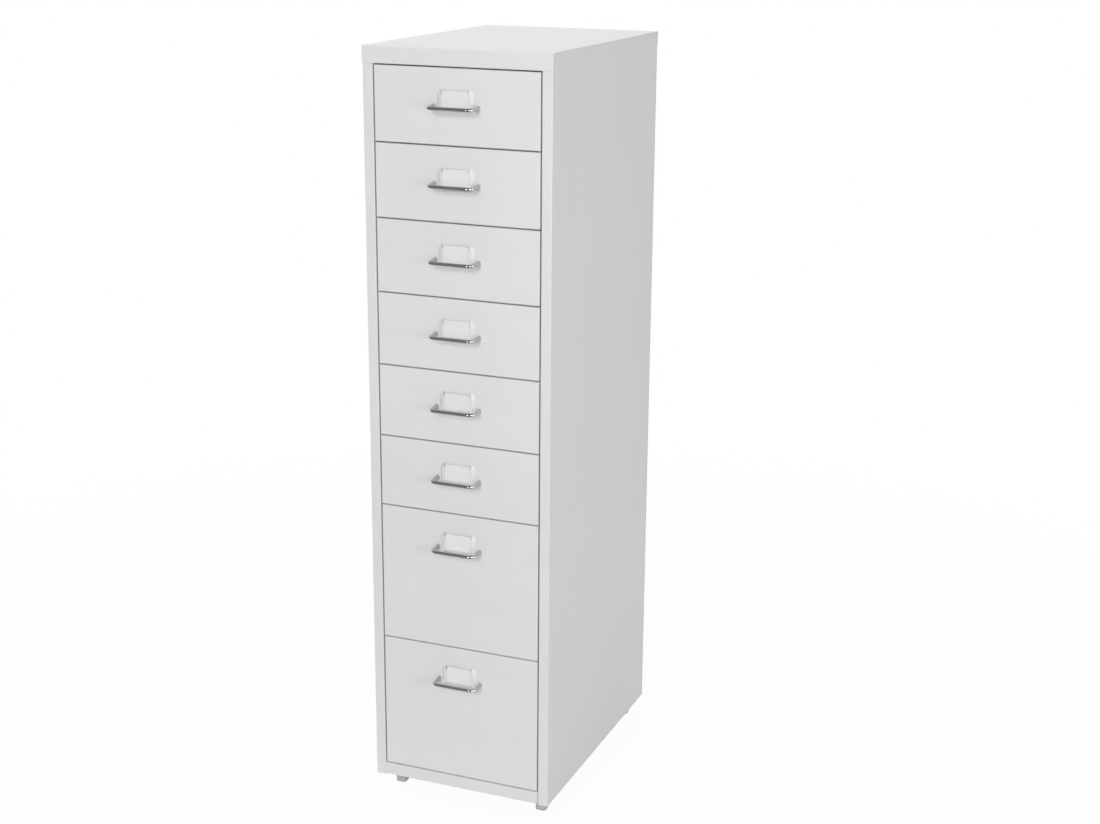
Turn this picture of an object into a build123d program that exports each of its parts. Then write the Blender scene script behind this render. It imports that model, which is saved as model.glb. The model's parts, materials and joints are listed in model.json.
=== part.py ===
"""A tall, narrow cabinet of folded sheet steel with eight drawers, standing on four plastic feet.

X runs to the right, Y to the back and Z up. The origin lies on the floor, in the middle of the
area that the cabinet covers with its handles and rear screws. All sizes are in millimetres.
"""
import os

from build123d import *

# Carcass
WIDTH = 276.0  # over the fascia
DEPTH = 412.0  # from the drawer fronts to the back panel's outer face
SHEET = 0.8
FOLD = 1.2  # centre-line radius of the folds
SEAM = 0.2  # gap between neighbouring panels
OVERHANG = 0.6  # fascia beyond each side panel
STILE = 15.0  # width of the posts folded along the side panels
POST_RETURN = 26.0  # how far the posts turn back into the carcass
FASCIA_HEIGHT = 23.4
FASCIA_LIP = 11.0
FASCIA_CORNER = 3.0
REAR_FLANGE = 22.0
TOP_FLANGE = 14.0
SILL_HEIGHT = 19.4
SILL_LIP = 11.0
FLANGE_MARGIN = 3.0  # bottom flange beyond the feet

# Feet
FOOT_HEIGHT = 26.0
FOOT_WIDTH = 17.0  # at the top
FOOT_BASE_WIDTH = 16.0
FOOT_CORNER = 4.5
FOOT_ROUND = 1.5
FOOT_SIDE_INSET = 23.5
FOOT_FRONT_INSET = 38.0
FOOT_BACK_INSET = 25.0
SPIGOT_RADIUS = 4.0
SPIGOT_PLAY = 0.15
BARB = 0.9  # barb beyond the spigot
BARB_HEIGHT = 4.0
BARB_TIP_RADIUS = 2.4

# Drawers
SMALL_DRAWERS = 6
LARGE_DRAWERS = 2
SMALL_FRONT = 101.5  # height
LARGE_FRONT = 201.5
GAP = 1.7  # between the fronts
SIDE_GAP = 1.8  # between a front and the posts
DRAWER_SHEET = 0.7
FRONT_DEPTH = 12.0
FRONT_ROUND = 1.5
WELD_OVERLAP = 6.0  # front's rear lips behind the tray's outline
TRAY_FOLD = 1.4
TRAY_RAISE = 8.0  # tray above the front's lower edge
TRAY_REAR_GAP = 8.0
TRAY_HEM = 8.0
RIM_DROP = 14.0  # running flanges below the front's upper edge
RUN_FLANGE = 11.0
ACCESS_RADIUS = 7.0  # screwdriver holes behind the handle

# Runners
RUNNER_SHEET = 1.0
RUNNER_FOLD = 1.2
RUNNER_ROOM = 6.5  # free height above the running flange
RUNNER_SETBACK = 2.0  # behind the drawer front
RUNNER_REAR_GAP = 3.0
RUN_GAP = 0.3  # under the running flange
FLANGE_PLAY = 1.4  # beside the running flange
LIP_PLAY = 1.0  # between the runner's lips and the tray wall
TRAVEL = 290.0
STOP_PLAY = 0.5
STOP_CLEAR = 1.2  # stop tab above the running flange
EAR_LENGTH = 10.0
EAR_CLEAR = 1.5  # stop ear below the runner's upper lip

# Handles
HANDLE_REACH = 25.5
HANDLE_SPAN = 64.0  # between the legs' centres
HANDLE_DROP = 50.9  # below the front's upper edge
HANDLE_BEND = 7.0
BAR_RADIUS = 2.6
LEG_WIDTH = 6.6
LEG_HEIGHT = 8.5
LEG_STUB = 2.0  # round part of the leg before the bend

# Label holders
LABEL_HEIGHT = 31.0
LABEL_DROP = 27.6  # below the front's upper edge
LABEL_SIDE_GAP = 2.0  # beside the handle's legs
LABEL_RISE = 3.2
LABEL_SLOPE = 4.4
LABEL_WALL = 1.0
LABEL_CUT_WIDTH = 3.5
LABEL_CUT_HEIGHT = 6.2
LABEL_LIP_HEIGHT = 4.0
LABEL_LIP_RISE = 1.0
TAB_HEIGHT = 8.0
TAB_REACH = 1.8
TAB_PLAY = 0.2
CARD_THICKNESS = 0.4
CARD_PLAY = 0.2
CARD_DROP = 2.0

# Screws
SCREW_RADIUS = 1.75
BOLT_RADIUS = 1.5  # screws of the handles
SCREW_PLAY = 0.15
SCREW_LENGTH = 8.0
HEAD_RADIUS = 3.5
HEAD_HEIGHT = 2.2
HEAD_ROUND = 1.2
TAP_END = 2.0  # solid metal between a handle screw and the handle's bend
BACK_SCREW_ROWS = 5
BACK_SCREW_MARGIN = 30.0

# Levels and planes that follow from the sizes above
OVERALL_DEPTH = HANDLE_REACH + DEPTH + HEAD_HEIGHT
FRONT = HANDLE_REACH - OVERALL_DEPTH / 2
BACK = FRONT + DEPTH
REAR_PLANE = BACK - SHEET  # back of the posts, front of the back panel
FRONT_HEIGHTS = [SMALL_FRONT] * SMALL_DRAWERS + [LARGE_FRONT] * LARGE_DRAWERS
BASE = FOOT_HEIGHT
STACK = sum(FRONT_HEIGHTS) + (len(FRONT_HEIGHTS) + 1) * GAP
TOP = BASE + SILL_HEIGHT + STACK + FASCIA_HEIGHT
FASCIA_EDGE = TOP - FASCIA_HEIGHT

BODY = WIDTH - 2 * OVERHANG  # over the side panels
OPENING = BODY - 2 * STILE  # between the posts
POST_MIDDLE = (OPENING + STILE) / 2
FRONT_WIDTH = OPENING - 2 * SIDE_GAP
FLANGE_EDGE = OPENING / 2 - RUNNER_SHEET - FLANGE_PLAY
TRAY_SIDE = FLANGE_EDGE - RUN_FLANGE  # outer face of the tray's side wall
TRAY_FRONT = FRONT + FRONT_DEPTH
TRAY_BACK = REAR_PLANE - SHEET - TRAY_REAR_GAP
RUNNER_FRONT = TRAY_FRONT + RUNNER_SETBACK
RUNNER_BACK = REAR_PLANE - SHEET - RUNNER_REAR_GAP
EAR_FRONT = RUNNER_FRONT + RUNNER_SHEET + TRAVEL + STOP_PLAY
LEG_LENGTH = HANDLE_REACH - BAR_RADIUS - HANDLE_BEND  # straight part of the leg
LABEL_HALF = HANDLE_SPAN / 2 - LEG_WIDTH / 2 - LABEL_SIDE_GAP
LIP_ROOM = 2 * FOLD + SHEET  # height of the strip that a folded lip needs

FOOT_X = BODY / 2 - FOOT_SIDE_INSET
FOOT_PLACES = {
    "foot_front_left": (-FOOT_X, FRONT + FOOT_FRONT_INSET),
    "foot_front_right": (FOOT_X, FRONT + FOOT_FRONT_INSET),
    "foot_rear_left": (-FOOT_X, BACK - FOOT_BACK_INSET),
    "foot_rear_right": (FOOT_X, BACK - FOOT_BACK_INSET),
}
BOTTOM_FLANGE = FOOT_SIDE_INSET + FOOT_WIDTH / 2 + FLANGE_MARGIN
BACK_PANEL_TOP = TOP - REAR_FLANGE - SEAM
BACK_SCREW_PITCH = (BACK_PANEL_TOP - BASE - 2 * BACK_SCREW_MARGIN) / (BACK_SCREW_ROWS - 1)
BACK_PANEL_MIDDLE = (BASE + BACK_PANEL_TOP) / 2
LID_SCREW_LEVEL = TOP - REAR_FLANGE / 2
SILL_SCREW_LEVEL = BASE + SHEET + 2 * HEAD_RADIUS
SILL_SCREW_X = OPENING / 4


def facing(depth):
    """The upright plane at this depth, seen from the front: sketch points are (X, Z)."""
    return Plane.XZ.offset(-depth)


def save(builder, name):
    """Label the finished piece and write its STEP file."""
    builder.part.label = name
    export_step(builder.part, f"parts/{name}.step")


def folded(points, fold, sheet):
    """A strip of sheet metal in the open sketch, folded along a centre line."""
    with BuildLine() as centre_line:
        FilletPolyline(*points, radius=fold)
    trace(centre_line.line, line_width=sheet)


def back_screw_holes():
    """Circles for the screws of the back panel, in a sketch that faces the front."""
    with Locations((0, BACK_PANEL_MIDDLE)):
        with GridLocations(2 * POST_MIDDLE, BACK_SCREW_PITCH, 2, BACK_SCREW_ROWS):
            Circle(SCREW_RADIUS + SCREW_PLAY)


def lid_screw_holes():
    """Circles for the two screws of the top panel's rear flange."""
    with Locations((0, LID_SCREW_LEVEL)):
        with GridLocations(2 * POST_MIDDLE, 0, 2, 1):
            Circle(SCREW_RADIUS + SCREW_PLAY)


def sill_screw_holes():
    """Circles for the two screws of the bottom panel's rear flange."""
    with Locations((0, SILL_SCREW_LEVEL)):
        with GridLocations(2 * SILL_SCREW_X, 0, 2, 1):
            Circle(SCREW_RADIUS + SCREW_PLAY)


def side_panel(side):
    """A side panel: its front and rear edges are folded into posts, with a flange top and bottom."""
    outer = side * (BODY - SHEET) / 2
    inner = side * (OPENING + SHEET) / 2
    front = FRONT + SHEET / 2
    rear = REAR_PLANE - SHEET / 2
    height = TOP - SHEET - BASE
    flange_front = FRONT + POST_RETURN + SEAM
    top_flange_back = REAR_PLANE - POST_RETURN - SEAM
    web = side * (BODY / 2 - SHEET)
    flanges = (
        (BASE, BOTTOM_FLANGE, rear),
        (TOP - 2 * SHEET, TOP_FLANGE, top_flange_back),
    )
    with BuildPart() as panel:
        with BuildSketch(Plane.XY.offset(BASE)):
            folded(
                [
                    (inner, FRONT + POST_RETURN),
                    (inner, front),
                    (outer, front),
                    (outer, rear),
                    (inner, rear),
                    (inner, REAR_PLANE - POST_RETURN),
                ],
                FOLD,
                SHEET,
            )
        extrude(amount=height)
        # The fascia takes the place of the post's front face at the top
        with BuildSketch(facing(FRONT)):
            with Locations((side * POST_MIDDLE, TOP - FASCIA_HEIGHT / 2 - SEAM / 2)):
                Rectangle(STILE + 2 * SHEET, FASCIA_HEIGHT + SEAM)
        extrude(amount=-(SHEET + SEAM), mode=Mode.SUBTRACT)
        # Notches clear the folds of the top panel
        with BuildSketch(Plane.YZ):
            for depth in (FRONT, REAR_PLANE):
                with Locations((depth, TOP - SHEET)):
                    Rectangle(2 * (SHEET + FOLD), 2 * FOLD)
        extrude(amount=BODY / 2, both=True, mode=Mode.SUBTRACT)
        for level, width, flange_back in flanges:
            flange_middle = (flange_front + flange_back) / 2
            with BuildSketch(Plane.XY.offset(level)):
                with Locations((web - side * (width - SHEET) / 2, flange_middle)):
                    Rectangle(width, flange_back - flange_front)
            extrude(amount=SHEET)
        # The bottom flange also closes the lower ends of the posts
        with BuildSketch(Plane.XY.offset(BASE)):
            with Locations((side * POST_MIDDLE, (front + rear) / 2)):
                RectangleRounded(STILE - SHEET, rear - front, FOLD)
        extrude(amount=SHEET)
        with BuildSketch(Plane.XY.offset(BASE)):
            with Locations(*FOOT_PLACES.values()):
                Circle(SPIGOT_RADIUS + SPIGOT_PLAY)
        extrude(amount=SHEET, mode=Mode.SUBTRACT)
        with BuildSketch(facing(REAR_PLANE)):
            back_screw_holes()
            lid_screw_holes()
        extrude(amount=2 * SHEET, mode=Mode.SUBTRACT)
    return panel


def drawer_tray(front_top, height):
    """The tray: sides, bottom and running flanges folded from one sheet, with a wall at each end."""
    run = front_top - RIM_DROP
    bottom = front_top - height + TRAY_RAISE
    wall = TRAY_SIDE - DRAWER_SHEET / 2
    level = run + DRAWER_SHEET / 2
    floor = bottom + DRAWER_SHEET / 2
    ear_top = run + DRAWER_SHEET + RUNNER_ROOM - EAR_CLEAR
    handle_level = front_top - HANDLE_DROP
    with BuildPart() as tray:
        with BuildSketch(facing(TRAY_FRONT)):
            folded(
                [
                    (-FLANGE_EDGE, level),
                    (-wall, level),
                    (-wall, floor),
                    (wall, floor),
                    (wall, level),
                    (FLANGE_EDGE, level),
                ],
                TRAY_FOLD,
                DRAWER_SHEET,
            )
        extrude(amount=-(TRAY_BACK - TRAY_FRONT))
        for depth in (TRAY_FRONT, TRAY_BACK - DRAWER_SHEET):
            with BuildSketch(facing(depth)):
                with Locations((0, (floor + run) / 2)):
                    Rectangle(2 * wall, run - floor)
            extrude(amount=-DRAWER_SHEET)
        # The upper edge of the rear wall is hemmed
        with BuildSketch(facing(TRAY_BACK)):
            with Locations((0, run - TRAY_HEM / 2)):
                Rectangle(2 * wall, TRAY_HEM)
        extrude(amount=-DRAWER_SHEET)
        # Stop ears turned up from the flanges' outer edges
        with BuildSketch(facing(EAR_FRONT)):
            for side in (-1, 1):
                with Locations((side * (FLANGE_EDGE - DRAWER_SHEET / 2), (run + ear_top) / 2)):
                    Rectangle(DRAWER_SHEET, ear_top - run)
        extrude(amount=-EAR_LENGTH)
        with BuildSketch(facing(TRAY_FRONT)):
            with Locations((-HANDLE_SPAN / 2, handle_level), (HANDLE_SPAN / 2, handle_level)):
                Circle(ACCESS_RADIUS)
        extrude(amount=-DRAWER_SHEET, mode=Mode.SUBTRACT)
    return tray


def drawer_front(front_top, height):
    """The front: a shallow pan with folded edges and rear lips, which the tray is welded to."""
    middle = front_top - height / 2
    opening_top = front_top - RIM_DROP - WELD_OVERLAP
    opening_bottom = front_top - height + TRAY_RAISE + WELD_OVERLAP
    handle_level = front_top - HANDLE_DROP
    label_middle = front_top - LABEL_DROP - LABEL_HEIGHT / 2
    with BuildPart() as front:
        with BuildSketch(facing(FRONT)):
            with Locations((0, middle)):
                Rectangle(FRONT_WIDTH, height)
        extrude(amount=-FRONT_DEPTH)
        fillet(front.faces().sort_by(Axis.Y)[0].edges(), radius=FRONT_ROUND)
        offset(amount=-DRAWER_SHEET, openings=front.faces().sort_by(Axis.Y)[-1])
        with BuildSketch(facing(TRAY_FRONT)):
            with Locations((0, middle)):
                Rectangle(FRONT_WIDTH, height)
            with Locations((0, (opening_top + opening_bottom) / 2)):
                Rectangle(
                    2 * (TRAY_SIDE - WELD_OVERLAP),
                    opening_top - opening_bottom,
                    mode=Mode.SUBTRACT,
                )
        extrude(amount=DRAWER_SHEET)
        with BuildSketch(facing(FRONT)):
            with Locations((-HANDLE_SPAN / 2, handle_level), (HANDLE_SPAN / 2, handle_level)):
                Circle(BOLT_RADIUS + SCREW_PLAY)
            for side in (-1, 1):
                with Locations((side * (LABEL_HALF - LABEL_WALL / 2), label_middle)):
                    Rectangle(LABEL_WALL + 2 * TAB_PLAY, TAB_HEIGHT + 2 * TAB_PLAY)
        extrude(amount=-DRAWER_SHEET, mode=Mode.SUBTRACT)
    return front


def handle(front_top):
    """A cast bow handle: a round bar whose two legs flare to upright feet on the drawer front."""
    level = front_top - HANDLE_DROP
    half = HANDLE_SPAN / 2
    flare_end = FRONT - LEG_LENGTH + LEG_STUB
    bar = FRONT - HANDLE_REACH + BAR_RADIUS
    with BuildPart() as bow:
        with BuildLine(Plane.XY.offset(level)) as path:
            FilletPolyline(
                (-half, flare_end), (-half, bar), (half, bar), (half, flare_end), radius=HANDLE_BEND
            )
        with BuildSketch(facing(flare_end)):
            with Locations((-half, level)):
                Circle(BAR_RADIUS)
        sweep(path=path.wires()[0])
        for x in (-half, half):
            with BuildSketch(facing(FRONT)):
                with Locations((x, level)):
                    Ellipse(LEG_WIDTH / 2, LEG_HEIGHT / 2)
            with BuildSketch(facing(flare_end)):
                with Locations((x, level)):
                    Circle(BAR_RADIUS)
            loft()
        with BuildSketch(facing(FRONT)):
            with Locations((-half, level), (half, level)):
                Circle(BOLT_RADIUS + SCREW_PLAY)
        extrude(amount=LEG_LENGTH - TAP_END + SCREW_PLAY, mode=Mode.SUBTRACT)
    return bow


def handle_screws(front_top):
    """Two pan-head screws that hold the handle from inside the drawer front."""
    level = front_top - HANDLE_DROP
    seat = FRONT + DRAWER_SHEET
    places = ((-HANDLE_SPAN / 2, level), (HANDLE_SPAN / 2, level))
    with BuildPart() as screws:
        with BuildSketch(facing(seat)):
            with Locations(*places):
                Circle(HEAD_RADIUS)
        extrude(amount=-HEAD_HEIGHT)
        fillet(screws.edges().group_by(Axis.Y)[-1], radius=HEAD_ROUND)
        with BuildSketch(facing(seat)):
            with Locations(*places):
                Circle(BOLT_RADIUS)
        extrude(amount=DRAWER_SHEET + LEG_LENGTH - TAP_END)
    return screws


def pocket_outline(half, bottom, top):
    """The label holder's outline, with its upper corners cut, as a face in the open sketch."""
    with BuildLine() as outline:
        Polyline(
            (-half, bottom),
            (half, bottom),
            (half, top - LABEL_CUT_HEIGHT),
            (half - LABEL_CUT_WIDTH, top),
            (LABEL_CUT_WIDTH - half, top),
            (-half, top - LABEL_CUT_HEIGHT),
            close=True,
        )
    make_face(outline.edges())


def label_holder(front_top):
    """A moulded pocket with sloped sides, open at the top, snapped into the drawer front."""
    top = front_top - LABEL_DROP
    bottom = top - LABEL_HEIGHT
    plate = LABEL_HALF - LABEL_SLOPE
    face = FRONT - LABEL_RISE
    inside = face + LABEL_WALL
    with BuildPart() as holder:
        with BuildSketch(facing(FRONT)):
            pocket_outline(LABEL_HALF, bottom, top)
        with BuildSketch(facing(face)):
            pocket_outline(plate, bottom + LABEL_SLOPE, top)
        loft(ruled=True)
        with BuildSketch(facing(FRONT)):
            pocket_outline(LABEL_HALF - LABEL_WALL, bottom + LABEL_WALL, top)
        with BuildSketch(facing(inside)):
            pocket_outline(plate - LABEL_WALL, bottom + LABEL_SLOPE + LABEL_WALL, top)
        loft(ruled=True, mode=Mode.SUBTRACT)
        # The upper edge leans out so that a card slips in
        with BuildSketch(Plane.YZ):
            with BuildLine():
                Polyline(
                    (inside, top),
                    (face, top - LABEL_LIP_HEIGHT),
                    (face - LABEL_LIP_RISE, top),
                    close=True,
                )
            make_face()
        extrude(amount=plate - LABEL_CUT_WIDTH, both=True)
        with BuildSketch(facing(FRONT)):
            for side in (-1, 1):
                with Locations((side * (LABEL_HALF - LABEL_WALL / 2), (bottom + top) / 2)):
                    Rectangle(LABEL_WALL, TAB_HEIGHT)
        extrude(amount=-(DRAWER_SHEET + TAB_REACH))
    return holder


def label_card(front_top):
    """A blank card in the label holder, cut to the same outline."""
    top = front_top - LABEL_DROP - CARD_DROP
    bottom = front_top - LABEL_DROP - LABEL_HEIGHT + LABEL_SLOPE + LABEL_WALL + CARD_PLAY
    half = LABEL_HALF - LABEL_SLOPE - LABEL_WALL - CARD_PLAY
    with BuildPart() as card:
        with BuildSketch(facing(FRONT - LABEL_RISE + LABEL_WALL + CARD_PLAY)):
            pocket_outline(half, bottom, top)
        extrude(amount=-CARD_THICKNESS)
    return card


os.makedirs("parts", exist_ok=True)

for panel_name, panel_side in (("side_panel_left", -1), ("side_panel_right", 1)):
    save(side_panel(panel_side), panel_name)

# Top panel: a plate over both side panels, with the fascia folded down in front
with BuildPart() as top_panel:
    with BuildSketch(Plane.YZ):
        folded(
            [
                (BACK - SHEET / 2, TOP - REAR_FLANGE),
                (BACK - SHEET / 2, TOP - SHEET / 2),
                (FRONT + SHEET / 2, TOP - SHEET / 2),
                (FRONT + SHEET / 2, FASCIA_EDGE + LIP_ROOM),
            ],
            FOLD,
            SHEET,
        )
    extrude(amount=WIDTH / 2, both=True)
    with BuildSketch(Plane.YZ):
        folded(
            [
                (FRONT + SHEET / 2, FASCIA_EDGE + LIP_ROOM),
                (FRONT + SHEET / 2, FASCIA_EDGE + SHEET / 2),
                (FRONT + FASCIA_LIP, FASCIA_EDGE + SHEET / 2),
            ],
            FOLD,
            SHEET,
        )
    extrude(amount=OPENING / 2 - SEAM, both=True)
    # The ends of the fascia cover the posts and have rounded lower corners
    with BuildSketch(facing(FRONT)):
        with Locations((0, FASCIA_EDGE + LIP_ROOM / 2)):
            ends = Rectangle(WIDTH, LIP_ROOM)
            Rectangle(OPENING - 2 * SEAM, LIP_ROOM, mode=Mode.SUBTRACT)
        corners = ends.vertices().group_by(Axis.Y)[0]
        fillet(corners, radius=min(FASCIA_CORNER, LIP_ROOM - SEAM))
    extrude(amount=-SHEET)
    with BuildSketch(facing(BACK)):
        lid_screw_holes()
    extrude(amount=SHEET, mode=Mode.SUBTRACT)
save(top_panel, "top_panel")

# Bottom panel: a plate on the side panels' bottom flanges, with the sill folded up in front
with BuildPart() as bottom_panel:
    with BuildSketch(Plane.YZ):
        folded(
            [
                (FRONT + SILL_LIP, BASE + SILL_HEIGHT - SHEET / 2),
                (FRONT + SHEET / 2, BASE + SILL_HEIGHT - SHEET / 2),
                (FRONT + SHEET / 2, BASE + SHEET + SHEET / 2),
                (REAR_PLANE - SHEET / 2, BASE + SHEET + SHEET / 2),
                (REAR_PLANE - SHEET / 2, BASE + SILL_HEIGHT),
            ],
            FOLD,
            SHEET,
        )
    extrude(amount=OPENING / 2 - SEAM, both=True)
    with BuildSketch(Plane.XY.offset(BASE + SHEET)):
        with Locations(*FOOT_PLACES.values()):
            Circle(SPIGOT_RADIUS + SPIGOT_PLAY)
    extrude(amount=SHEET, mode=Mode.SUBTRACT)
    with BuildSketch(facing(REAR_PLANE)):
        sill_screw_holes()
    extrude(amount=SHEET, mode=Mode.SUBTRACT)
save(bottom_panel, "bottom_panel")

with BuildPart() as back_panel:
    with BuildSketch(facing(BACK)):
        with Locations((0, BACK_PANEL_MIDDLE)):
            Rectangle(BODY, BACK_PANEL_TOP - BASE)
    extrude(amount=SHEET)
    with BuildSketch(facing(BACK)):
        back_screw_holes()
        sill_screw_holes()
    extrude(amount=SHEET, mode=Mode.SUBTRACT)
save(back_panel, "back_panel")

# Feet: moulded square blocks whose barbed spigots snap into the bottom
for foot_name, (foot_x, foot_y) in FOOT_PLACES.items():
    spigot_top = FOOT_HEIGHT + 2 * SHEET
    with BuildPart() as foot:
        for level, width in ((0, FOOT_BASE_WIDTH), (FOOT_HEIGHT, FOOT_WIDTH)):
            with BuildSketch(Plane.XY.offset(level)):
                with Locations((foot_x, foot_y)):
                    RectangleRounded(width, width, FOOT_CORNER)
        loft(ruled=True)
        fillet(foot.edges().group_by(Axis.Z)[0], radius=FOOT_ROUND)
        with BuildSketch(facing(foot_y)):
            with BuildLine():
                Polyline(
                    (foot_x, FOOT_HEIGHT),
                    (foot_x + SPIGOT_RADIUS, FOOT_HEIGHT),
                    (foot_x + SPIGOT_RADIUS, spigot_top + SPIGOT_PLAY),
                    (foot_x + SPIGOT_RADIUS + BARB, spigot_top + SPIGOT_PLAY),
                    (foot_x + BARB_TIP_RADIUS, spigot_top + BARB_HEIGHT),
                    (foot_x, spigot_top + BARB_HEIGHT),
                    close=True,
                )
            make_face()
        revolve(axis=Axis((foot_x, foot_y, 0), (0, 0, 1)))
    save(foot, foot_name)

# Runners: channels welded between the front and rear posts, with a stop tab bent down in front
FRONT_TOPS = []
next_top = FASCIA_EDGE - GAP
for front_height in FRONT_HEIGHTS:
    FRONT_TOPS.append(next_top)
    next_top -= front_height + GAP

for runner_name, runner_side in (("runners_left", -1), ("runners_right", 1)):
    runner_web = runner_side * (OPENING - RUNNER_SHEET) / 2
    runner_lip = runner_side * (TRAY_SIDE + LIP_PLAY)
    with BuildPart() as runners:
        for front_top in FRONT_TOPS:
            flange_top = front_top - RIM_DROP + DRAWER_SHEET
            lower = front_top - RIM_DROP - RUN_GAP - RUNNER_SHEET / 2
            upper = flange_top + RUNNER_ROOM + RUNNER_SHEET / 2
            with BuildSketch(facing(RUNNER_FRONT)):
                folded(
                    [
                        (runner_lip, lower),
                        (runner_web, lower),
                        (runner_web, upper),
                        (runner_lip, upper),
                    ],
                    RUNNER_FOLD,
                    RUNNER_SHEET,
                )
            extrude(amount=-(RUNNER_BACK - RUNNER_FRONT))
            stop_bottom = flange_top + STOP_CLEAR
            with BuildSketch(facing(RUNNER_FRONT)):
                with Locations(((runner_lip + runner_web) / 2, (stop_bottom + upper) / 2)):
                    Rectangle(abs(runner_web - runner_lip), upper - stop_bottom)
            extrude(amount=-RUNNER_SHEET)
    save(runners, runner_name)

# Screws through the back panel and the top panel's rear flange
with BuildPart() as assembly_screws:
    with BuildSketch(facing(BACK)):
        with Locations((0, BACK_PANEL_MIDDLE)):
            with GridLocations(2 * POST_MIDDLE, BACK_SCREW_PITCH, 2, BACK_SCREW_ROWS):
                Circle(HEAD_RADIUS)
        with Locations((0, LID_SCREW_LEVEL)):
            with GridLocations(2 * POST_MIDDLE, 0, 2, 1):
                Circle(HEAD_RADIUS)
        with Locations((0, SILL_SCREW_LEVEL)):
            with GridLocations(2 * SILL_SCREW_X, 0, 2, 1):
                Circle(HEAD_RADIUS)
    extrude(amount=-HEAD_HEIGHT)
    fillet(assembly_screws.edges().group_by(Axis.Y)[-1], radius=HEAD_ROUND)
    with BuildSketch(facing(BACK)):
        with Locations((0, BACK_PANEL_MIDDLE)):
            with GridLocations(2 * POST_MIDDLE, BACK_SCREW_PITCH, 2, BACK_SCREW_ROWS):
                Circle(SCREW_RADIUS)
        with Locations((0, LID_SCREW_LEVEL)):
            with GridLocations(2 * POST_MIDDLE, 0, 2, 1):
                Circle(SCREW_RADIUS)
        with Locations((0, SILL_SCREW_LEVEL)):
            with GridLocations(2 * SILL_SCREW_X, 0, 2, 1):
                Circle(SCREW_RADIUS)
    extrude(amount=SCREW_LENGTH)
save(assembly_screws, "assembly_screws")

for number, (front_top, front_height) in enumerate(zip(FRONT_TOPS, FRONT_HEIGHTS), start=1):
    save(drawer_tray(front_top, front_height), f"drawer_{number}_tray")
    save(drawer_front(front_top, front_height), f"drawer_{number}_front")
    save(handle(front_top), f"drawer_{number}_handle")
    save(handle_screws(front_top), f"drawer_{number}_handle_screws")
    save(label_holder(front_top), f"drawer_{number}_label_holder")
    save(label_card(front_top), f"drawer_{number}_label_card")
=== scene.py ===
"""The finishes, light and view of a tall steel cabinet with eight drawers.

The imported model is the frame: lengths are in metres, X runs to the right, Y to the back and Z up.
"""
import json
import math

import bmesh
import bpy
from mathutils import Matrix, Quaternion, Vector

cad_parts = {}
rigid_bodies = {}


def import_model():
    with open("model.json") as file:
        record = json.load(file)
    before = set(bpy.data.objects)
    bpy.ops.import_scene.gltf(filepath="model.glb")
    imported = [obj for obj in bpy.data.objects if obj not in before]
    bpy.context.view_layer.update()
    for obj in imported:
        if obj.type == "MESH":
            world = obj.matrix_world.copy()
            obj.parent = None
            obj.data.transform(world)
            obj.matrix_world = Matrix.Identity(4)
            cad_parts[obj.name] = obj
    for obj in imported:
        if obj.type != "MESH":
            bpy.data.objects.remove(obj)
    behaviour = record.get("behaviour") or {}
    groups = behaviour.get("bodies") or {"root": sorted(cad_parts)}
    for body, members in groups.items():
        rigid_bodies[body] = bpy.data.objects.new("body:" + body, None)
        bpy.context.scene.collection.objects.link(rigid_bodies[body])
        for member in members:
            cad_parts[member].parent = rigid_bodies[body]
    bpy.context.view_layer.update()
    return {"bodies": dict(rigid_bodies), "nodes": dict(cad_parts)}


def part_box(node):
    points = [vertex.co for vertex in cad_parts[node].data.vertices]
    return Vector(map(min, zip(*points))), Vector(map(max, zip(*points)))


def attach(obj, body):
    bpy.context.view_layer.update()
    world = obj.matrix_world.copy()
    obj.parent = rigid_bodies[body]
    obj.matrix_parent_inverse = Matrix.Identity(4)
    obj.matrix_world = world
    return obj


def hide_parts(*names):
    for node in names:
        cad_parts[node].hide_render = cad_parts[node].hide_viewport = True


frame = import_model()

# Carcass
# Two side panels, a top, a bottom and a back, folded from thin steel sheet and screwed together.
# All are sprayed with one pale grey powder and baked, which leaves a satin skin like fine orange peel.


class Wire:
    """An output in a finish's node tree. Sums and products of wires add Math nodes."""

    def __init__(self, tree, socket=None):
        self.tree = tree
        self.socket = socket

    def node(self, kind, settings, sockets, output=0):
        """A new node: its settings first, then a value or a wire for each named socket."""
        made = self.tree.nodes.new(kind)
        for name, value in settings.items():
            setattr(made, name, value)
        for name, value in sockets.items():
            if isinstance(value, Wire):
                self.tree.links.new(value.socket, made.inputs[name])
            else:
                made.inputs[name].default_value = value
        return Wire(self.tree, made.outputs[output])

    def maths(self, operation, first, second):
        return self.node("ShaderNodeMath", {"operation": operation}, {0: first, 1: second})

    def __add__(self, other):
        return self.maths("ADD", self, other)

    def __radd__(self, other):
        return self.maths("ADD", other, self)

    def __mul__(self, other):
        return self.maths("MULTIPLY", self, other)

    def __rmul__(self, other):
        return self.maths("MULTIPLY", other, self)

    def span(self, low, high):
        """This value, which runs from 0 to 1, as a number from low to high."""
        return low + (high - low) * self

    def noise(self, grain, detail):
        """Soft noise from 0 to 1 at this place, with lumps about one grain across."""
        return self.node("ShaderNodeTexNoise", {}, {"Vector": self, "Scale": 1 / grain, "Detail": detail})

    def between(self, low, high):
        """How far this value has gone from low to high, smoothly and held at 0 and 1."""
        steps = {"Value": self, "From Min": low, "From Max": high}
        return self.node("ShaderNodeMapRange", {"interpolation_type": "SMOOTHSTEP"}, steps)

    def blend(self, first, second):
        """The first colour where this value is 0, the second where it is 1."""
        return self.node("ShaderNodeMix", {"data_type": "RGBA"}, {0: self, 6: first, 7: second}, 2)

    def relief(self, height):
        """A normal that stands up by this value times a height in metres."""
        return self.node("ShaderNodeBump", {}, {"Strength": 1.0, "Distance": height, "Height": self})

    def feed(self, shader, name):
        self.tree.links.new(self.socket, shader.inputs[name])


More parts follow.
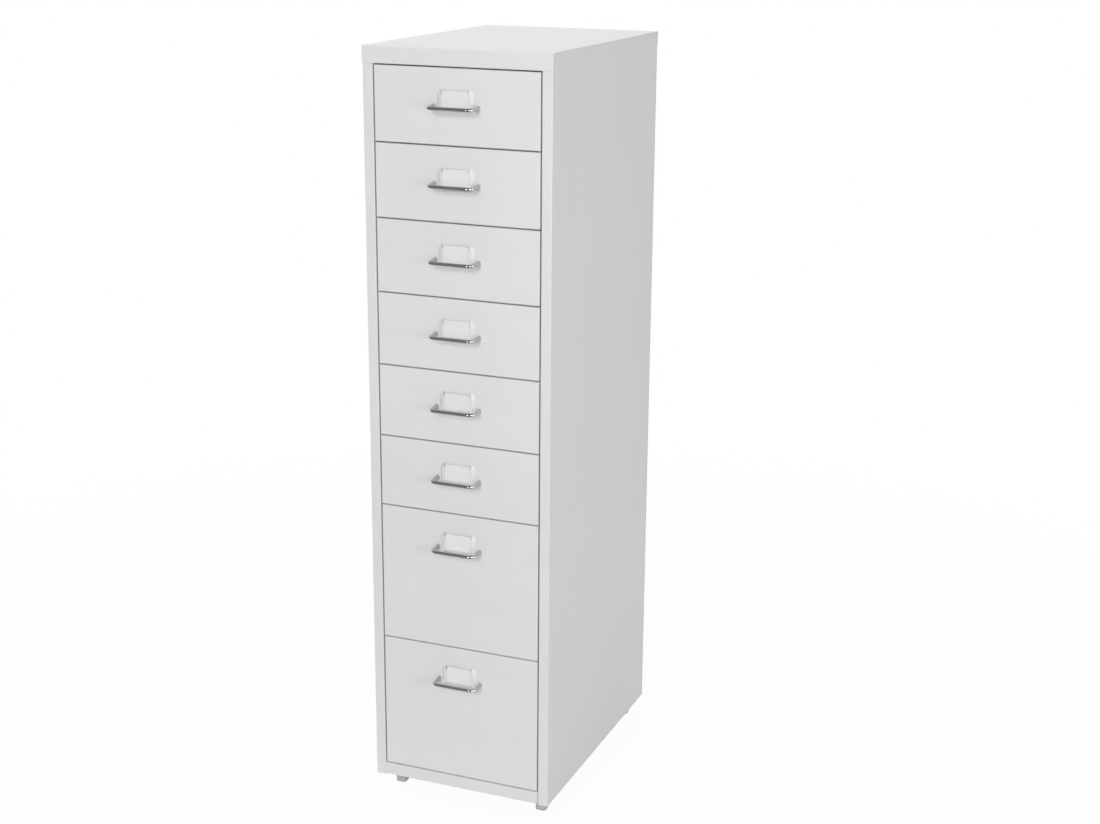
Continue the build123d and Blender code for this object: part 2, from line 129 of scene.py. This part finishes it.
def grey(level, warmth=0.0):
    """A linear colour that is nearly neutral."""
    return (level + warmth, level, level - warmth, 1.0)


def new_finish(name):
    """A material, its shader, and the place on the piece as a wire."""
    material = bpy.data.materials.new(name)
    material.use_nodes = True
    tree = material.node_tree
    place = Wire(tree).node("ShaderNodeTexCoord", {}, {}, "Object")
    return material, tree.nodes["Principled BSDF"], place


def dress(node_name, material):
    """Put a finish on a node of the frame."""
    for slot in frame["nodes"][node_name].material_slots:
        slot.material = material


def powder_coat(name, level):
    """Satin powder coat: a thick skin that is a little uneven in shade, gloss and surface."""
    material, shader, place = new_finish(name)
    clouds = place.noise(grain=0.34, detail=2.0)
    drift = place.noise(grain=0.045, detail=3.0)
    peel = place.noise(grain=0.0021, detail=1.0) + 0.4 * place.noise(grain=0.0009, detail=0.0)
    specks = place.noise(grain=0.0012, detail=0.0).between(low=0.74, high=0.80)
    darkest, lightest, speck = level * 0.975, level * 1.02, level * 0.8
    shade = (0.7 * clouds + 0.3 * drift).between(low=0.2, high=0.8)
    speck_cover = 0.10 * specks
    tone = shade.blend(grey(darkest), grey(lightest))
    speck_cover.blend(tone, grey(speck)).feed(shader, "Base Color")
    drift.span(low=0.33, high=0.45).feed(shader, "Roughness")
    peel.relief(height=0.000035).feed(shader, "Normal")
    shader.inputs["Specular IOR Level"].default_value = 0.45
    return material


carcass_coat = powder_coat("carcass_powder_coat", level=0.795)
for panel in ("side_panel_left", "side_panel_right", "top_panel", "bottom_panel", "back_panel"):
    dress(panel, carcass_coat)

# Runners
# Eight channels down each side, folded from galvanised strip and welded between the posts.
# The zinc froze in flat crystals, so neighbouring patches differ in shade and gloss.


def galvanised(name):
    """Hot-dip zinc with its spangle, brightened in streaks where the drawers slide."""
    material, shader, place = new_finish(name)
    crystal_size = 0.006
    stretch_along_y = (1.0, 0.02, 1.0)
    spangle = {"Vector": place, "Scale": 1 / crystal_size}
    crystal = place.node("ShaderNodeTexVoronoi", {}, spangle, "Color")
    tilt = place.node("ShaderNodeSeparateColor", {}, {"Color": crystal}, "Red")
    along = place.node("ShaderNodeMapping", {}, {"Vector": place, "Scale": stretch_along_y})
    streaks = along.noise(grain=0.0008, detail=2.0)
    tilt.blend(grey(0.50, warmth=-0.008), grey(0.68, warmth=-0.006)).feed(shader, "Base Color")
    (tilt.span(low=0.30, high=0.44) + 0.10 * streaks).feed(shader, "Roughness")
    (0.5 * tilt + streaks).relief(height=0.00002).feed(shader, "Normal")
    shader.inputs["Metallic"].default_value = 1.0
    return material


runner_zinc = galvanised("galvanised_strip")
for side in ("left", "right"):
    dress(f"runners_{side}", runner_zinc)

# Drawers
# Each drawer is a tray and a front of thinner sheet, welded together before they are coated.
# Six low drawers stand over two that are twice as tall.
drawers = [body for body in frame["bodies"] if body.startswith("drawer_")]
drawer_coat = powder_coat("drawer_powder_coat", level=0.80)
for drawer in drawers:
    dress(f"{drawer}_tray", drawer_coat)
    dress(f"{drawer}_front", drawer_coat)

# Handles
# A cast bow on each front, polished and chrome plated, with legs that flare to its two screws.
# Chrome shows the room around it, so the surface needs only the faintest haze.


def chrome(name):
    """Bright plate with polishing haze and a slow waviness left by the buffing wheel."""
    material, shader, place = new_finish(name)
    haze = place.noise(grain=0.004, detail=3.0)
    wave = place.noise(grain=0.007, detail=1.0)
    haze.blend(grey(0.50, warmth=-0.006), grey(0.56, warmth=-0.005)).feed(shader, "Base Color")
    haze.span(low=0.05, high=0.12).feed(shader, "Roughness")
    wave.relief(height=0.00008).feed(shader, "Normal")
    shader.inputs["Metallic"].default_value = 1.0
    return material


handle_chrome = chrome("chrome_plate")
for drawer in drawers:
    dress(f"{drawer}_handle", handle_chrome)

# Screws
# Pan-head screws of zinc-plated steel: two inside each front hold its handle, and fourteen hold the
# back panel and the rear flanges of the top and the bottom. Each head has a recess for a cross driver.
head_radius, head_height, head_round = 0.0035, 0.0022, 0.0012
recess_reach, recess_half, recess_depth = 0.0019, 0.00042, 0.0013
mouth_radius = 0.0021
turn_steps, round_steps = 32, 5
crease = math.radians(35)
weld = 1e-7


def screw_mesh(name, tip, radius):
    """One screw along Y: its head stands behind its seat at 0, and its shank ends at the tip."""
    shape = bmesh.new()
    outline = [
        (mouth_radius, head_height),
        (head_radius, head_height),
        (head_radius, 0.0),
        (radius, 0.0),
        (radius, tip + radius / 2),
        (radius / 2, tip),
    ]
    points = [shape.verts.new((across, along, 0.0)) for across, along in outline]
    edges = [shape.edges.new(pair) for pair in zip(points, points[1:])]
    bmesh.ops.spin(
        shape, geom=points + edges, cent=(0.0, 0.0, 0.0), axis=(0.0, 1.0, 0.0),
        angle=math.tau, steps=turn_steps, use_merge=True,
    )
    ends = [edge for edge in shape.edges if edge.is_boundary]
    point = [edge for edge in ends if edge.verts[0].co.y < 0.0]
    mouth = [edge for edge in ends if edge.verts[0].co.y > 0.0]
    bmesh.ops.edgeloop_fill(shape, edges=point)
    # The recess is a cross of four like arms, sunk into the head
    arm = [(recess_reach, -recess_half), (recess_reach, recess_half), (recess_half, recess_half)]
    cross = []
    for quarter in range(4):
        cross += [shape.verts.new((across, head_height, up)) for across, up in arm]
        arm = [(-up, across) for across, up in arm]
    sides = [shape.edges.new(pair) for pair in zip(cross, cross[1:] + cross[:1])]
    bmesh.ops.triangle_fill(shape, use_beauty=True, edges=mouth + sides)
    walls = bmesh.ops.extrude_edge_only(shape, edges=sides)["geom"]
    sunk = [part for part in walls if isinstance(part, bmesh.types.BMVert)]
    bmesh.ops.translate(shape, verts=sunk, vec=(0.0, -recess_depth, 0.0))
    bottom = [part for part in walls if isinstance(part, bmesh.types.BMEdge) and part.is_boundary]
    bmesh.ops.edgeloop_fill(shape, edges=bottom)
    # The rim of the head is rounded
    past_mouth = (mouth_radius + head_radius) / 2
    outer = {v for v in shape.verts if v.co.y > 0.0 and math.hypot(v.co.x, v.co.z) > past_mouth}
    rim = [edge for edge in shape.edges if outer.issuperset(edge.verts)]
    bmesh.ops.bevel(
        shape, geom=rim, offset=head_round, segments=round_steps, profile=0.5, affect="EDGES", material=-1,
    )
    bmesh.ops.remove_doubles(shape, verts=shape.verts, dist=weld)
    bmesh.ops.recalc_face_normals(shape, faces=shape.faces)
    for face in shape.faces:
        face.smooth = True
    for edge in shape.edges:
        edge.smooth = edge.calc_face_angle(0.0) < crease
    mesh = bpy.data.meshes.new(name)
    shape.to_mesh(mesh)
    shape.free()
    return mesh


def screw_group(node_name, body, places, radius, material):
    """Screws with recesses, in the place of a node's plain ones."""
    low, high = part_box(node_name)
    seat = high[1] - head_height
    one = screw_mesh(f"{node_name}_one", low[1] - seat, radius)
    shape = bmesh.new()
    for x, z in places:
        first = len(shape.verts)
        shape.from_mesh(one)
        shape.verts.ensure_lookup_table()
        bmesh.ops.translate(shape, verts=shape.verts[first:], vec=(x, seat, z))
    mesh = bpy.data.meshes.new(f"{node_name}_cross")
    shape.to_mesh(mesh)
    shape.free()
    bpy.data.meshes.remove(one)
    mesh.materials.append(material)
    group = bpy.data.objects.new(f"{node_name}_cross", mesh)
    bpy.context.scene.collection.objects.link(group)
    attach(group, body)
    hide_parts(node_name)


def zinc_plate(name):
    """Thin blue-white plating, dull in patches and brushed bright by the driver."""
    material, shader, place = new_finish(name)
    patches = place.noise(grain=0.0016, detail=2.0)
    scratches = place.noise(grain=0.0003, detail=1.0)
    patches.blend(grey(0.52, warmth=0.008), grey(0.70, warmth=-0.004)).feed(shader, "Base Color")
    (patches.span(low=0.20, high=0.40) + 0.1 * scratches).feed(shader, "Roughness")
    scratches.relief(height=0.00001).feed(shader, "Normal")
    shader.inputs["Metallic"].default_value = 1.0
    return material


screw_zinc = zinc_plate("zinc_plate")
back_screw_radius, handle_screw_radius = 0.00175, 0.0015
low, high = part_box("assembly_screws")
panel_low, panel_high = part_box("back_panel")
row_margin, rows = 0.030, 5
row_pitch = (panel_high[2] - panel_low[2] - 2 * row_margin) / (rows - 1)
levels = [panel_low[2] + row_margin + row * row_pitch for row in range(rows)]
levels.append(high[2] - head_radius)
sill_x = 0.0612
back_places = [(x, z) for z in levels for x in (low[0] + head_radius, high[0] - head_radius)]
back_places += [(x, low[2] + head_radius) for x in (-sill_x, sill_x)]
screw_group("assembly_screws", "carcass", back_places, back_screw_radius, screw_zinc)
for drawer in drawers:
    low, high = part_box(f"{drawer}_handle_screws")
    level = (low[2] + high[2]) / 2
    handle_places = [(x, level) for x in (low[0] + head_radius, high[0] - head_radius)]
    screw_group(f"{drawer}_handle_screws", drawer, handle_places, handle_screw_radius, screw_zinc)

# Label holders and cards
# A shallow pocket of clear plastic, milky at its sides, is snapped into each front above the handle.
# A blank white card slides into it from the top.


def clear_plastic(name):
    """Clear moulded plastic with milky slopes at its sides, where it is thick."""
    material, shader, place = new_finish(name)
    slope_start, slope_end = 0.0203, 0.0209
    flow = place.noise(grain=0.006, detail=2.0)
    across = place.node("ShaderNodeSeparateXYZ", {}, {"Vector": place}, "X")
    slope = across.maths("ABSOLUTE", across, 0.0).between(slope_start, slope_end)
    flow.blend(grey(0.90), grey(0.95)).feed(shader, "Base Color")
    slope.span(low=0.06, high=0.86).feed(shader, "Alpha")
    (flow.span(low=0.10, high=0.20) + 0.30 * slope).feed(shader, "Roughness")
    flow.relief(height=0.00004).feed(shader, "Normal")
    return material


def card_stock(name):
    """Plain uncoated card, with the soft fleck of its fibres."""
    material, shader, place = new_finish(name)
    fibres = place.noise(grain=0.0007, detail=4.0)
    fibres.blend(grey(0.86, warmth=0.004), grey(0.92, warmth=0.003)).feed(shader, "Base Color")
    fibres.relief(height=0.00002).feed(shader, "Normal")
    shader.inputs["Roughness"].default_value = 0.85
    return material


pocket_plastic = clear_plastic("moulded_clear_plastic")
label_card = card_stock("card_stock")
for drawer in drawers:
    dress(f"{drawer}_label_holder", pocket_plastic)
    dress(f"{drawer}_label_card", label_card)

# Feet
# Four short square blocks of grey plastic, pushed into the bottom by their spigots.
# The mould was spark eroded, so the skin has a fine, even grain.


def moulded_grey(name):
    """Dull grey plastic with a fine grain."""
    material, shader, place = new_finish(name)
    grain = place.noise(grain=0.0005, detail=1.0)
    clouds = place.noise(grain=0.009, detail=2.0)
    clouds.blend(grey(0.47), grey(0.54)).feed(shader, "Base Color")
    grain.span(low=0.46, high=0.60).feed(shader, "Roughness")
    grain.relief(height=0.00005).feed(shader, "Normal")
    return material


foot_grey = moulded_grey("moulded_grey_plastic")
for foot in ("front_left", "front_right", "rear_left", "rear_right"):
    dress(f"foot_{foot}", foot_grey)

# Floor, world and light
# A white studio floor that fades into a white surround and keeps a soft shadow under the cabinet.
# Soft lights stand in front, at the right, behind and above. Three tall strips, which only shiny surfaces
# show, give the chrome its bright spots. Dim glowing grey cards, also seen only there, paint its dark
# lines.


def seen_directly(tree):
    """1 for what the eye, a mirror or clear plastic shows, 0 for light on its way to a matt surface."""
    seen = Wire(tree).node("ShaderNodeLightPath", {}, {}, "Is Camera Ray")
    for ray in ("Is Glossy Ray", "Is Transmission Ray"):
        seen = seen.maths("MAXIMUM", seen, seen.node("ShaderNodeLightPath", {}, {}, ray))
    return seen


def studio_floor(name, near, far):
    """White where it is seen, fading from a surface that takes shadow to plain white."""
    material, shader, place = new_finish(name)
    tree = material.node_tree
    speckle = place.noise(grain=0.02, detail=3.0)
    speckle.blend(grey(0.77), grey(0.81)).feed(shader, "Base Color")
    shader.inputs["Roughness"].default_value = 0.9
    shader.inputs["Specular IOR Level"].default_value = 0.0
    matt = Wire(tree, shader.outputs["BSDF"])
    white = place.node("ShaderNodeEmission", {}, {"Color": grey(1.0), "Strength": 1.0})
    distance = place.node("ShaderNodeVectorMath", {"operation": "LENGTH"}, {0: place}, "Value")
    plain = distance.between(near, far).span(low=0.96, high=1.0)
    mixed = place.node("ShaderNodeMixShader", {}, {0: plain * seen_directly(tree), 1: matt, 2: white})
    mixed.feed(tree.nodes["Material Output"], "Surface")
    return material


def flat_panel(name, corners, material):
    """A plain rectangle of the studio, which isn't part of the cabinet."""
    mesh = bpy.data.meshes.new(name)
    shape = bmesh.new()
    shape.faces.new([shape.verts.new(corner) for corner in corners])
    shape.to_mesh(mesh)
    shape.free()
    mesh.materials.append(material)
    panel = bpy.data.objects.new(name, mesh)
    bpy.context.scene.collection.objects.link(panel)
    return panel


floor_reach = 40.0
floor_signs = ((-1, -1), (1, -1), (1, 1), (-1, 1))
floor_corners = [(x * floor_reach, y * floor_reach, 0.0) for x, y in floor_signs]
flat_panel("studio_floor", floor_corners, studio_floor("white_floor", near=0.45, far=1.8))

# The cards glow a dim grey and only shiny surfaces see them: a painted dark reflection in the chrome and
# the satin coat.
dark_reflection_card, card_shader, _ = new_finish("dark_reflection_card")
card_shader.inputs["Base Color"].default_value = grey(0.0)
card_shader.inputs["Emission Color"].default_value = grey(0.27)
card_shader.inputs["Emission Strength"].default_value = 1.0
card_shader.inputs["Roughness"].default_value = 1.0
card_shader.inputs["Specular IOR Level"].default_value = 0.0
room_side, room_front, room_top, room_floor = 4.0, -4.2, 3.3, 0.02
side_end, floor_end, ceiling_end = 0.2, -0.3, 1.2


def upright_card(x, y, end_x, end_y):
    """The corners of a card that stands between two places on the floor."""
    foot = [(x, y, room_floor), (end_x, end_y, room_floor)]
    return foot + [(end_x, end_y, room_top), (x, y, room_top)]


def level_card(z, back):
    """The corners of a card that lies at this level, from the front of the room."""
    front_edge = [(-room_side, room_front, z), (room_side, room_front, z)]
    return front_edge + [(room_side, back, z), (-room_side, back, z)]


cards = {
    "front_card": upright_card(-room_side, room_front, room_side, room_front),
    "left_card": upright_card(-room_side, room_front, -room_side, side_end),
    "right_card": upright_card(room_side, room_front, room_side, side_end),
    "floor_card": level_card(room_floor, floor_end),
    "ceiling_card": level_card(room_top, ceiling_end),
}
for name, corners in cards.items():
    card = flat_panel(name, corners, dark_reflection_card)
    card.visible_camera = False
    card.visible_diffuse = False
    card.visible_shadow = False

world = bpy.data.worlds.new("white_surround")
world.use_nodes = True
bpy.context.scene.world = world
sky = world.node_tree.nodes["Background"]
ambient = 0.26
sky.inputs["Color"].default_value = grey(1.0)
seen_directly(world.node_tree).span(low=ambient, high=1.0).feed(sky, "Strength")


def soft_light(name, place, aim, width, height, power):
    """A softbox that faces a point."""
    lamp = bpy.data.lights.new(name, "AREA")
    lamp.shape = "RECTANGLE"
    lamp.size = width
    lamp.size_y = height
    lamp.energy = power
    holder = bpy.data.objects.new(name, lamp)
    holder.location = place
    holder.rotation_mode = "QUATERNION"
    holder.rotation_quaternion = (Vector(aim) - Vector(place)).to_track_quat("-Z", "Y")
    bpy.context.scene.collection.objects.link(holder)
    return holder


middle = (0.0, 0.0, 0.6)
soft_light("key", (0.3, -8.0, 3.7), middle, width=3.0, height=3.0, power=283.0)
soft_light("side", (2.4, -1.5, 0.9), (0.0, 0.0, 0.5), width=0.6, height=0.6, power=14.5)
soft_light("right", (2.8, 0.2, 1.4), middle, width=1.4, height=1.4, power=6.0)
rear = soft_light("rear", (-2.8, 6.0, 1.8), middle, width=3.0, height=3.0, power=150.0)
overhead = soft_light("overhead", (-0.3, 0.0, 3.4), (0.0, 0.0, 1.0), width=2.0, height=2.0, power=31.0)
for lamp in (rear, overhead):
    lamp.visible_glossy = False

strip_distance, strip_level = 3.2, 0.8
strip_width, strip_height = 0.35, 1.6
strips = (("front_strip", -10.0, 15.0), ("right_strip", 38.0, 25.0), ("side_strip", 84.0, 20.0))
for name, azimuth, power in strips:
    turn = math.radians(azimuth)
    place = (strip_distance * math.sin(turn), -strip_distance * math.cos(turn), strip_level)
    strip = soft_light(name, place, (0.0, 0.0, strip_level), strip_width, strip_height, power)
    strip.visible_diffuse = False

# View
# The camera stands to the right and in front of the cabinet, a little above its top, and looks down
# so that the top, the drawers and the right side all show.
eye = Vector((1.0136, -2.36265, 1.2986))
sight = Vector((-0.35992, 0.89027, -0.27905))
roll = math.radians(0.45)
camera_data = bpy.data.cameras.new("camera")
camera_data.lens = 59.02
camera_data.sensor_width = 36.0
camera_data.clip_start = 0.05
camera_data.clip_end = 200.0
camera = bpy.data.objects.new("camera", camera_data)
camera.rotation_mode = "QUATERNION"
camera.rotation_quaternion = sight.to_track_quat("-Z", "Y") @ Quaternion((0.0, 0.0, 1.0), roll)
camera.location = eye
bpy.context.scene.collection.objects.link(camera)
bpy.context.scene.camera = camera
bpy.context.scene.view_settings.view_transform = "Standard"
